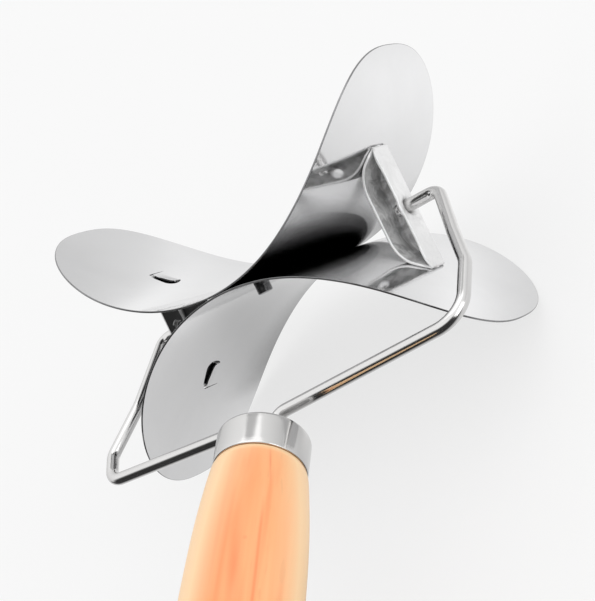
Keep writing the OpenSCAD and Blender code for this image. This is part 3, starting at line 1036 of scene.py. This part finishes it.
# ------------------------------------------------------------------ yoke wire
# centre line of each arm from its pin tip, x mirrored at -X: (x, y, bend radius) in mm
ARM_RIGHT = [(37.2, 0, 0), (50.3, 0, 4.2), (55.7, -18.4, 12), (59.9, -31.0, 10),
             (59.9, -49.2, 7.6)]
ARM_LEFT = [(37.2, 0, 0), (46.5, 0, 3.6), (51.3, -21.5, 14), (58.1, -36.6, 5), (56.3, -46.0, 5)]
# both arms end alike: the bend into the hairpin, and the end of its straight leg
HAIRPIN_Y = float(yoke_lo.y) + WIRE_R + LEG
ARM_END = [(LEG / MM, -51.2, 4.0), (LEG / MM, HAIRPIN_Y / MM, 0)]
WIRE_SIDES = 32
TIP_CHAMFER = 0.35 * MM


def straight(start, end):
    """Points after start up to end, about 1.2 mm apart."""
    pieces = max(1, int(np.linalg.norm(end - start) / (1.2 * MM)))
    return [start + (end - start) * j / pieces for j in range(1, pieces + 1)]


def fillet_path(rows):
    """Polyline through (x, y, bend radius) rows with every bend rounded."""
    rows = np.array(rows) * MM
    points, radii = rows[:, :2], rows[:, 2]
    out = [points[0]]
    for i in range(1, len(points) - 1):
        before = (points[i] - points[i - 1]) / np.linalg.norm(points[i] - points[i - 1])
        after = (points[i + 1] - points[i]) / np.linalg.norm(points[i + 1] - points[i])
        turn = math.atan2(before[0] * after[1] - before[1] * after[0], before @ after)
        start = points[i] - before * (radii[i] * math.tan(abs(turn) / 2))
        sign = 1 if turn > 0 else -1
        center = start + radii[i] * sign * np.array([-before[1], before[0]])
        angle = math.atan2(start[1] - center[1], start[0] - center[0])
        pieces = max(4, int(abs(turn) / math.radians(5)))
        out += straight(out[-1], start)
        for j in range(1, pieces + 1):
            t = angle + turn * j / pieces
            out.append(center + radii[i] * np.array([math.cos(t), math.sin(t)]))
    return np.array(out + straight(out[-1], points[-1]))


def tube(name, path, radius):
    """Round wire along a path in the XY plane, flattened a little in its bends."""
    path = np.concatenate([path, np.zeros((len(path), 1))], 1)
    tangent = np.gradient(path, axis=0)
    tangent /= np.linalg.norm(tangent, axis=1)[:, None]
    up = np.array([0, 0, 1.0])
    side = np.cross(tangent, up)
    steps = np.linalg.norm(np.diff(path, axis=0), axis=1)
    turns = np.arccos(np.clip((tangent[1:] * tangent[:-1]).sum(1), -1, 1))
    curvature = np.concatenate([[0], turns / steps])
    curvature = np.convolve(curvature, np.array([1, 2, 3, 2, 1]) / 9, "same")
    flatten = np.clip(curvature * 0.00013, 0, 0.05)
    walked = np.concatenate([[0], np.cumsum(steps)])
    verts, faces, rings = [], [], []

    def ring(i, ring_r, flat, offset):
        rings.append(list(range(len(verts), len(verts) + WIRE_SIDES)))
        for angle in np.arange(WIRE_SIDES) * 2 * math.pi / WIRE_SIDES:
            spoke = (side[i] * math.cos(angle) * (1 - flat)
                     + up * math.sin(angle) * (1 + flat * 0.35))
            verts.append(path[i] + offset + spoke * ring_r)

    def tip_ring(i, inward, share):
        ring(i, radius * share, 0, inward * TIP_CHAMFER * (1 - math.sqrt(1 - share ** 2)) * 0.5)

    verts.append(path[0])
    for share in (0.55, 0.8, 0.93):
        tip_ring(0, tangent[0], share)
    last = len(path) - 1
    for i in range(last + 1):
        offset = {0: tangent[0] * TIP_CHAMFER, last: -tangent[-1] * TIP_CHAMFER}.get(i, 0 * up)
        waves = math.sin(walked[i] / (9 * MM)) * math.sin(walked[i] / (4.1 * MM) + 1)
        ring(i, radius * (1 + 0.004 * waves), flatten[i], offset)
    for share in (0.93, 0.8, 0.55):
        tip_ring(last, -tangent[-1], share)
    end_pole = len(verts)
    verts.append(path[-1])
    for j in range(WIRE_SIDES):
        k = (j + 1) % WIRE_SIDES
        faces.append((0, rings[0][k], rings[0][j]))
        faces.append((end_pole, rings[-1][j], rings[-1][k]))
    for ring_a, ring_b in zip(rings[:-1], rings[1:]):
        faces += bridge(ring_a, ring_b)
    return recalc(make(name, np.array(verts) + ORIGIN, faces))


def build_wire():
    right, left = fillet_path(ARM_RIGHT + ARM_END), fillet_path(ARM_LEFT + ARM_END)
    hairpin = [(LEG * math.cos(t), right[-1, 1] - LEG * math.sin(t))
               for t in np.linspace(0, math.pi, 17)[1:-1]]
    path = np.concatenate([right, hairpin, (left * [-1, 1])[::-1]])
    ob = tube("yoke_wire_swept", path, WIRE_R - 0.02 * MM)
    sharpen(ob, 50)
    paint(ob, "wire")
    return ob


# ------------------------------------------------------------------ ferrule
FERRULE_EDGE = 1.0 * MM
FERRULE_SIDES = 128
WIRE_HOLE_SIDES = 40


def ferrule_outline():
    """(radius, distance from the front face): over the outside, the rear rim and back inside."""
    length = FERRULE_BACK - FERRULE_FRONT
    edge_center = FERRULE_R - FERRULE_EDGE
    rows = [(edge_center, 0.0)]
    for t in np.linspace(0, math.pi / 2, 9)[1:]:
        rows.append((edge_center + FERRULE_EDGE * math.sin(t),
                     FERRULE_EDGE - FERRULE_EDGE * math.cos(t)))
    for k, share in enumerate((0.2, 0.4, 0.6, 0.78)):
        rows.append((FERRULE_R + 0.03 * MM * math.sin(k), length * share))
    # rolled rear rim: (inset from the outside, distance before the rear end) in mm
    for inset, before in ((0, 0.55), (0.03, 0.3), (0.10, 0.12), (0.24, 0.02), (0.42, 0),
                          (0.62, 0.05)):
        rows.append((FERRULE_R - inset * MM, length - before * MM))
    inside = FERRULE_R - FERRULE_WALL
    return rows + [(inside, length - 0.2 * MM), (inside, FERRULE_EDGE + 0.2 * MM),
                   (inside - 0.5 * MM, FERRULE_WALL)]


def holed_disc(verts, faces, y, radius, rim):
    """Flat disc with the two wire holes, tied to the rim ring; returns the hole rings."""
    points = [Vector((verts[i][0] * CDT_SCALE, verts[i][2] * CDT_SCALE)) for i in rim]
    edges = [(j, (j + 1) % len(rim)) for j in range(len(rim))]
    hole_r = WIRE_R + 0.10 * MM
    loops = []
    for side in (-1, 1):
        first = len(points)
        for j in range(WIRE_HOLE_SIDES):
            angle = 2 * math.pi * j / WIRE_HOLE_SIDES
            points.append(Vector(((side * LEG + hole_r * math.cos(angle)) * CDT_SCALE,
                                  hole_r * math.sin(angle) * CDT_SCALE)))
        edges += [(first + j, first + (j + 1) % WIRE_HOLE_SIDES) for j in range(WIRE_HOLE_SIDES)]
        loops.append(range(first, first + WIRE_HOLE_SIDES))
    for share in (0.55, 0.75):
        if share * radius > LEG + WIRE_R + 0.6 * MM:
            ring_r = share * radius * CDT_SCALE
            points += [Vector((ring_r * math.cos(t), ring_r * math.sin(t)))
                       for t in (2 * math.pi * j / 48 for j in range(48))]
    flat, _, triangles, sources = delaunay_2d_cdt(points, edges, [], 0, 1e-6)[:4]
    number = {}
    holes = [[None] * len(loop) for loop in loops]
    for i, v in enumerate(flat):
        on_rim = [k for k in sources[i] if k < len(rim)]
        if on_rim:
            number[i] = rim[on_rim[0]]
        else:
            number[i] = len(verts)
            verts.append((v[0] / CDT_SCALE, y, v[1] / CDT_SCALE))
        for k in sources[i]:
            for hole, loop in zip(holes, loops):
                if k in loop:
                    hole[k - loop[0]] = number[i]
    for triangle in triangles:
        x, z = np.mean([flat[i] for i in triangle], axis=0) / CDT_SCALE
        if min(math.hypot(x - side * LEG, z) for side in (-1, 1)) >= WIRE_R + 0.09 * MM:
            faces.append(tuple(number[i] for i in triangle))
    return holes


def build_ferrule():
    verts, faces, rings = [], [], []
    for radius, along in ferrule_outline():
        rings.append(list(range(len(verts), len(verts) + FERRULE_SIDES)))
        for k in range(FERRULE_SIDES):
            angle = 2 * math.pi * k / FERRULE_SIDES
            verts.append((radius * math.cos(angle), -(FERRULE_FRONT + along),
                          radius * math.sin(angle)))
    for ring_a, ring_b in zip(rings[:-1], rings[1:]):
        faces += bridge(ring_a, ring_b)
    outer_holes = holed_disc(verts, faces, -FERRULE_FRONT, FERRULE_R - FERRULE_EDGE, rings[0])
    inner_holes = holed_disc(verts, faces, -(FERRULE_FRONT + FERRULE_WALL),
                             FERRULE_R - FERRULE_WALL - 0.5 * MM, rings[-1])
    for outer, inner in zip(outer_holes, inner_holes):
        faces += bridge(outer, inner)
    ob = recalc(make("ferrule_cap", verts, faces))
    sharpen(ob, 32)
    paint(ob, "ferrule")
    return ob


# ------------------------------------------------------------------ handle
GRIP_START = FERRULE_BACK + 0.05 * MM
GRIP_LENGTH = GRIP_END - GRIP_START
GRIP_D, BUTT_D = float(grip_hi.x - grip_lo.x), 25.5 * MM   # at the belly, at the butt
BUTT_LENGTH, BUTT_CORNER = 9 * MM, 4 * MM
TENON_R = FERRULE_R - FERRULE_WALL - 0.04 * MM


def grip_radius(share):
    """Radius at a share of the grip's length from the ferrule: swells, then tapers."""
    if share < 0.45:
        neck = FERRULE_R - 0.25 * MM
        swell = GRIP_D / 2 - FERRULE_R + 0.25 * MM
        return neck + swell * math.sin(math.pi / 2 * share / 0.45) ** 0.66
    taper = min(1, (share - 0.45) / 0.47)
    return BUTT_D / 2 + (GRIP_D - BUTT_D) / 4 * (1 + math.cos(math.pi * taper))


def handle_outline():
    """(radius, distance along -Y): tenon, shoulder, grip and rounded butt."""
    rows = [(0, TENON_FRONT), (TENON_R - 0.6 * MM, TENON_FRONT),
            (TENON_R, TENON_FRONT + 0.6 * MM), (TENON_R, GRIP_START - 0.4 * MM),
            (TENON_R, GRIP_START), (FERRULE_R - 0.75 * MM, GRIP_START),
            (FERRULE_R - 0.42 * MM, GRIP_START + 0.08 * MM),
            (FERRULE_R - 0.3 * MM, GRIP_START + 0.3 * MM)]
    butt_share = 1 - BUTT_LENGTH / GRIP_LENGTH
    for i in range(1, 90):
        share = (i / 90) ** 1.15 * butt_share
        if share * GRIP_LENGTH > 0.7 * MM:
            rows.append((grip_radius(share), GRIP_START + share * GRIP_LENGTH))
    flat_r = grip_radius(butt_share) - BUTT_CORNER
    for i in range(19):
        angle = math.radians(90 * i / 18)
        rows.append((flat_r + BUTT_CORNER * math.cos(angle),
                     GRIP_END - BUTT_LENGTH + BUTT_LENGTH * math.sin(angle)))
    return rows + [(flat_r * share, GRIP_END) for share in (0.8, 0.6, 0.4, 0.2)] + [(0, GRIP_END)]


def hand_turned(angle, along):
    """The small unevenness of a sanded turning, fading out at the ferrule."""
    fade = smooth01((along - GRIP_START) / (12 * MM))
    return float(fade) * (0.05 * MM * math.sin(2 * angle + 1.3 + along * 30)
                          + 0.04 * MM * math.sin(3 * angle + along * 90)
                          + 0.05 * MM * math.sin(along / (6.1 * MM)))


def hanging_hole_cutter():
    """Hanging hole through Z with eased edges."""
    mount = [m for m in frame["record"]["mounts"] if m["name"] == "hanging_hole"][0]
    place = np.array(mount["pos_m"], float)
    radius = mount["dims"]["r_mm"] * MM
    skin = float(grip_radius(1 - (GRIP_END - abs(place[1])) / GRIP_LENGTH))
    half = [(radius + 8.2 * MM, 20 * MM), (radius + 0.8 * MM, skin - 0.35 * MM),
            (radius + 0.25 * MM, skin - 1.1 * MM), (radius, skin - 2.0 * MM)]
    outline = capped([(r, -along) for r, along in half] + half[::-1])
    return lathe("hang", outline, place, (0, 0, 1), 64)


def mortise_cutter():
    """Slot with round ends for the hairpin."""
    sides = 48
    radius = WIRE_R + 0.1 * MM
    verts = []
    for y in (-TENON_FRONT + 2 * MM, float(yoke_lo.y) - 1.0 * MM):
        for k in range(sides):
            angle = 2 * math.pi * k / sides
            center = LEG * (1 if math.cos(angle) >= 0 else -1)
            verts.append((center + radius * math.cos(angle), y, radius * math.sin(angle)))
    front, back = tuple(range(sides)), tuple(range(sides, 2 * sides))
    return recalc(make("mort", verts, [front, back[::-1]] + bridge(front, back), smooth=False))


def build_handle():
    ob = lathe("handle_grip_wood", handle_outline(), np.zeros(3), (0, -1, 0), 160, hand_turned)
    boolean(ob, hanging_hole_cutter())
    boolean(ob, mortise_cutter())
    sharpen(ob, 42)
    paint(ob, "wood")
    return ob


# ------------------------------------------------------------------ floor
FLOOR_CELLS, FLOOR_HALF = 24, 3.0
FLOOR_GAP = 0.0002


def resting_plane(blades, wire, ferrule, handle):
    """Slope in Y and height at y = 0 of the plane under the roller and the handle's butt."""
    def profile(pieces):
        return np.concatenate([coords(piece.data)[:, 1:] for piece in pieces])

    def lowest(points, slope):
        return (points[:, 1] - slope * points[:, 0]).min()

    roller, grip = profile(blades), profile([handle])
    low, high = -0.4, 0.1
    for _ in range(50):
        slope = (low + high) / 2
        if lowest(roller, slope) - lowest(grip, slope) > 0:
            high = slope
        else:
            low = slope
    return slope, float(lowest(np.concatenate([roller, grip, profile([wire, ferrule])]), slope))


def floor_material():
    """Pale sheet that gives most of its own light, so shadows on it stay pale; glossy rays see it with painted
    reflections.
    """
    material, sh, surface = new_material("pale_floor")
    clouds = sh.noise(scale=9.0, detail=4.0, rough=0.6)
    pale = sh.ramp(clouds, [(0.3, (0.93, 0.93, 0.93)), (0.7, (0.95, 0.95, 0.95))])
    surface["Roughness"].default_value = 0.7
    surface["Specular IOR Level"].default_value = 0.15
    # painted reflection: for glossy rays only, the sheet turns near black towards -Y
    glossy_ray = sh.node("ShaderNodeLightPath").outputs["Is Glossy Ray"]
    x, y, _ = sh.split(sh.node("ShaderNodeNewGeometry").outputs["Position"])
    distance = sh.add(sh.mul(x, -0.10), sh.mul(y, -0.99))
    dark = sh.mul(sh.remap(distance, span=(0.050, 0.105), to=(0.0, 1.0)), glossy_ray)
    dimmed = sh.mix(1.0, pale, (0.21, 0.21, 0.21), "MULTIPLY")
    sh.link(sh.mix(dark, dimmed, (0.02, 0.02, 0.02)), surface["Base Color"])
    surface["Emission Color"].default_value = (1, 1, 1, 1)

    def patch(center, radius, gain):
        """Soft round patch of more or less glow, a painted reflection."""
        share_x = sh.math("DIVIDE", sh.sub(x, center[0]), radius)
        share_y = sh.math("DIVIDE", sh.sub(y, center[1]), radius)
        square = sh.add(sh.mul(share_x, share_x), sh.mul(share_y, share_y))
        return sh.mul(sh.math("EXPONENT", sh.mul(square, -1.0)), gain)

    # painted reflection: soft patches of more or less glow, seen by glossy rays only, brighten or darken the
    # metal's reflections
    near = sh.add(patch(center=(0.066, 0.055), radius=0.037, gain=0.24),
                  patch(center=(0.018, -0.012), radius=0.016, gain=0.40))
    near = sh.add(patch(center=(-0.036, 0.014), radius=0.026, gain=-0.21), near)
    # more painted reflection glow to the left, and a darker band far towards +Y, for glossy rays only
    left = sh.add(patch(center=(-0.054, 0.001), radius=0.014, gain=0.27),
                  patch(center=(-0.115, 0.205), radius=0.075, gain=0.15))
    left = sh.add(left, sh.remap(y, span=(0.24, 0.52), to=(0.0, -0.15)))
    base_glow, painted_reflection_change = 0.685, -0.03
    uneven = sh.add(sh.add(painted_reflection_change, near), left)
    glow = sh.add(base_glow, sh.mul(glossy_ray, uneven))
    sh.link(sh.mul(glow, sh.sub(1.0, dark)), surface["Emission Strength"])
    return material


def build_floor(slope, height):
    material = floor_material()
    tilt = math.atan(slope)
    side = FLOOR_CELLS + 1
    steps = [(i / FLOOR_CELLS - 0.5) * 2 * FLOOR_HALF for i in range(side)]
    verts = [(x, y * math.cos(tilt), height + y * math.sin(tilt) - FLOOR_GAP)
             for x in steps for y in steps]
    corners = [i * side + j for i in range(FLOOR_CELLS) for j in range(FLOOR_CELLS)]
    floor = make("studio_floor", verts, [(a, a + side, a + side + 1, a + 1) for a in corners])
    floor.data.materials.append(material)


# ------------------------------------------------------------------ world, lights, camera
SKY_BELOW, SKY_LOW, SKY_TOP = 1.22, 0.785, 1.24    # strength under, at and over the horizon


def build_world():
    world = bpy.data.worlds.new("studio")
    bpy.context.scene.world = world
    world.use_nodes = True
    tree = world.node_tree
    for node in list(tree.nodes):
        tree.nodes.remove(node)
    output = tree.nodes.new("ShaderNodeOutputWorld")
    background = tree.nodes.new("ShaderNodeBackground")
    tree.links.new(background.outputs[0], output.inputs[0])
    sh = Shader(tree)
    direction = sh.coords["Generated"]
    z = sh.split(direction)[2]
    sky = sh.math("MAXIMUM", sh.remap(z, span=(-0.15, -0.05), to=(SKY_BELOW, SKY_LOW)),
                  sh.remap(z, span=(-0.05, 0.8), to=(SKY_LOW, SKY_TOP)))
    glossy_ray = sh.node("ShaderNodeLightPath").outputs["Is Glossy Ray"]
    # dark room low down towards -Y: only polished parts show it
    facing = sh.dot(direction, Vector((-0.18, -0.98, 0.0)).normalized())
    side = sh.remap(facing, span=(0.25, 0.62), to=(0.0, 1.0), smooth=True)
    low = sh.remap(z, span=(0.56, 0.80), to=(1.0, 0.0), smooth=True)
    room = sh.mul(sh.mul(side, low), sh.mul(glossy_ray, 0.96))
    # round dark card high towards +Y, also only mirrored
    facing = sh.dot(direction, Vector((0.11, 0.69, 0.72)).normalized())
    card_edge = (math.cos(math.radians(13)), math.cos(math.radians(7)))
    card = sh.mul(sh.remap(facing, span=card_edge, to=(0.0, 0.80), smooth=True), glossy_ray)
    strength = sh.mul(sky, sh.mul(sh.sub(1.0, room), sh.sub(1.0, card)))
    sh.link(strength, background.inputs["Strength"])
    background.inputs[0].default_value = (1.0, 1.0, 1.0, 1)


def area_light(name, place, target, size, power):
    light = bpy.data.lights.new(name, "AREA")
    light.shape = "RECTANGLE"
    light.size = size
    light.size_y = size
    light.energy = power
    ob = bpy.data.objects.new(name, light)
    bpy.context.scene.collection.objects.link(ob)
    ob.location = place
    ob.rotation_mode = "QUATERNION"
    ob.rotation_quaternion = (Vector(target) - Vector(place)).to_track_quat("-Z", "Y")


# the camera's right, up and backward directions
CAMERA_AXES = [(0.749903633732737, 0.09660266079889299, -0.6544558549214843),
               (0.4010679414265037, 0.7203555201683044, 0.5658908295095073),
               (0.5261074476514693, -0.6868448518330945, 0.5014529918507126)]


def build_camera():
    data = bpy.data.cameras.new("cam")
    camera = bpy.data.objects.new("cam", data)
    bpy.context.scene.collection.objects.link(camera)
    data.sensor_width = 36.0
    data.lens = 106.5769937
    data.clip_start = 0.01
    data.clip_end = 20
    camera.location = Vector((0.2471931, -0.3297856, 0.2309447))
    camera.rotation_mode = "QUATERNION"
    camera.rotation_quaternion = Matrix(CAMERA_AXES).transposed().to_quaternion()
    scene = bpy.context.scene
    scene.camera = camera
    scene.view_settings.view_transform = "Standard"
    scene.view_settings.look = "None"


# ------------------------------------------------------------------ build
# the CAD nodes get a finish too
slot_of = {s["node"]: s["material_slot"] for s in frame["record"]["subparts"]}
for node, cad in frame["nodes"].items():
    paint(cad, slot_of[node])

blades = []
for node, side, seed in (("blade_upper", 1, 3), ("blade_lower", -1, 8)):
    blades.append(build_sheet(node + "_skin", side, seed))
    register(blades[-1], "roller", node)
for node, turned in (("bracket_right", False), ("bracket_left", True)):
    register(build_bracket(node + "_pan", turned), "roller", node)
register(build_rivets(), "roller", "center_rivets")
wire = build_wire()
register(wire, "yoke", "yoke_wire")
ferrule = build_ferrule()
register(ferrule, "yoke", "ferrule")
handle = build_handle()
register(handle, "yoke", "handle_grip")

build_floor(*resting_plane(blades, wire, ferrule, handle))
build_world()
area_light("key_soft", place=(0.25, 0.35, 0.95), target=(0, -0.03, 0), size=0.9, power=1.2)
area_light("side_soft", place=(0.46, -0.20, 0.10), target=(0, -0.10, 0), size=0.36, power=0.62)
build_camera()
